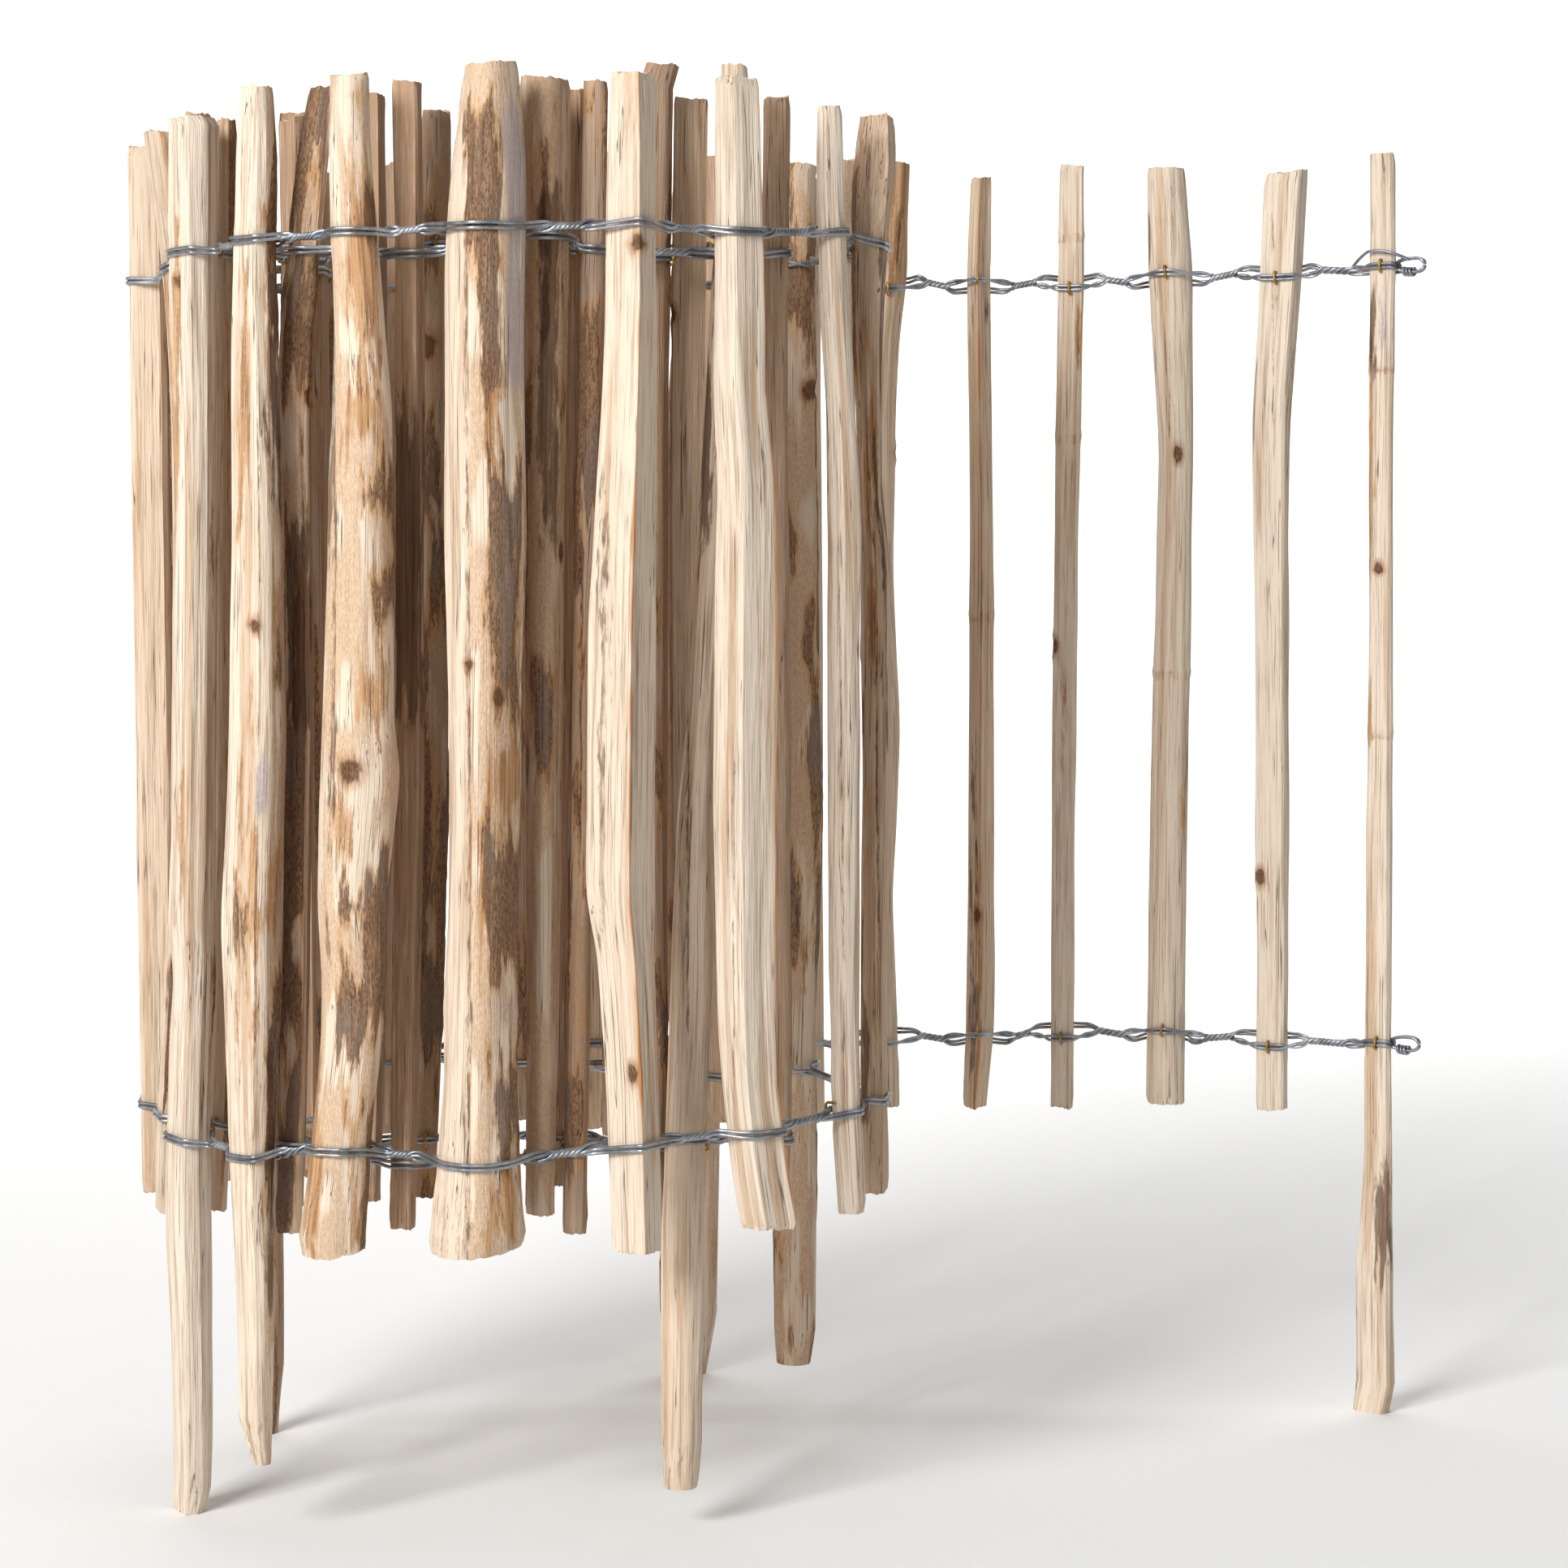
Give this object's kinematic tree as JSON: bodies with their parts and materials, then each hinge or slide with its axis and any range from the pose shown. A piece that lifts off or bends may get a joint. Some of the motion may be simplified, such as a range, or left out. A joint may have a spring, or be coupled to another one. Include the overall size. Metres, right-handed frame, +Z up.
{
  "type": "garden edging fence",
  "caption": "Partly unrolled roll of split hazel edging fence: upright pales and longer stakes held by twisted top and bottom wires with small staples.",
  "frame": {"origin": "ground level under the middle of the object's box", "axes": "+Z up along the stakes; +X along the unrolled run, towards the free end stake; +Y across, away from the side the roll is seen from"},
  "size_m": [0.7704, 0.4714, 0.8051],
  "materials": {
    "split_hazel": "rough split, partly with bark",
    "galvanised_wire": "galvanised, slightly dull",
    "brass_staple": "dull brass coating"
  },
  "bodies": {
    "root": {"bottom_staples": "brass_staple", "bottom_wire_inner_lower": "galvanised_wire", "bottom_wire_inner_upper": "galvanised_wire", "bottom_wire_outer_lower": "galvanised_wire", "bottom_wire_outer_upper": "galvanised_wire", "end_stake": "split_hazel", "pale_01": "split_hazel", "pale_02": "split_hazel", "pale_03": "split_hazel", "pale_04": "split_hazel", "pale_05": "split_hazel", "pale_06": "split_hazel", "pale_07": "split_hazel", "pale_08": "split_hazel", "pale_09": "split_hazel", "pale_10": "split_hazel", "pale_11": "split_hazel", "pale_12": "split_hazel", "pale_13": "split_hazel", "pale_14": "split_hazel", "pale_15": "split_hazel", "pale_16": "split_hazel", "pale_17": "split_hazel", "pale_18": "split_hazel", "pale_19": "split_hazel", "pale_20": "split_hazel", "pale_21": "split_hazel", "pale_22": "split_hazel", "pale_23": "split_hazel", "pale_24": "split_hazel", "pale_25": "split_hazel", "pale_26": "split_hazel", "pale_27": "split_hazel", "pale_28": "split_hazel", "pale_29": "split_hazel", "pale_30": "split_hazel", "pale_31": "split_hazel", "pale_32": "split_hazel", "pale_33": "split_hazel", "pale_34": "split_hazel", "pale_35": "split_hazel", "pale_36": "split_hazel", "pale_37": "split_hazel", "pale_38": "split_hazel", "pale_39": "split_hazel", "pale_40": "split_hazel", "pale_41": "split_hazel", "pale_42": "split_hazel", "stake_01": "split_hazel", "stake_02": "split_hazel", "stake_03": "split_hazel", "stake_04": "split_hazel", "stake_05": "split_hazel", "stake_06": "split_hazel", "top_staples": "brass_staple", "top_wire_inner_lower": "galvanised_wire", "top_wire_inner_upper": "galvanised_wire", "top_wire_outer_lower": "galvanised_wire", "top_wire_outer_upper": "galvanised_wire"}
  },
  "joints": []
}
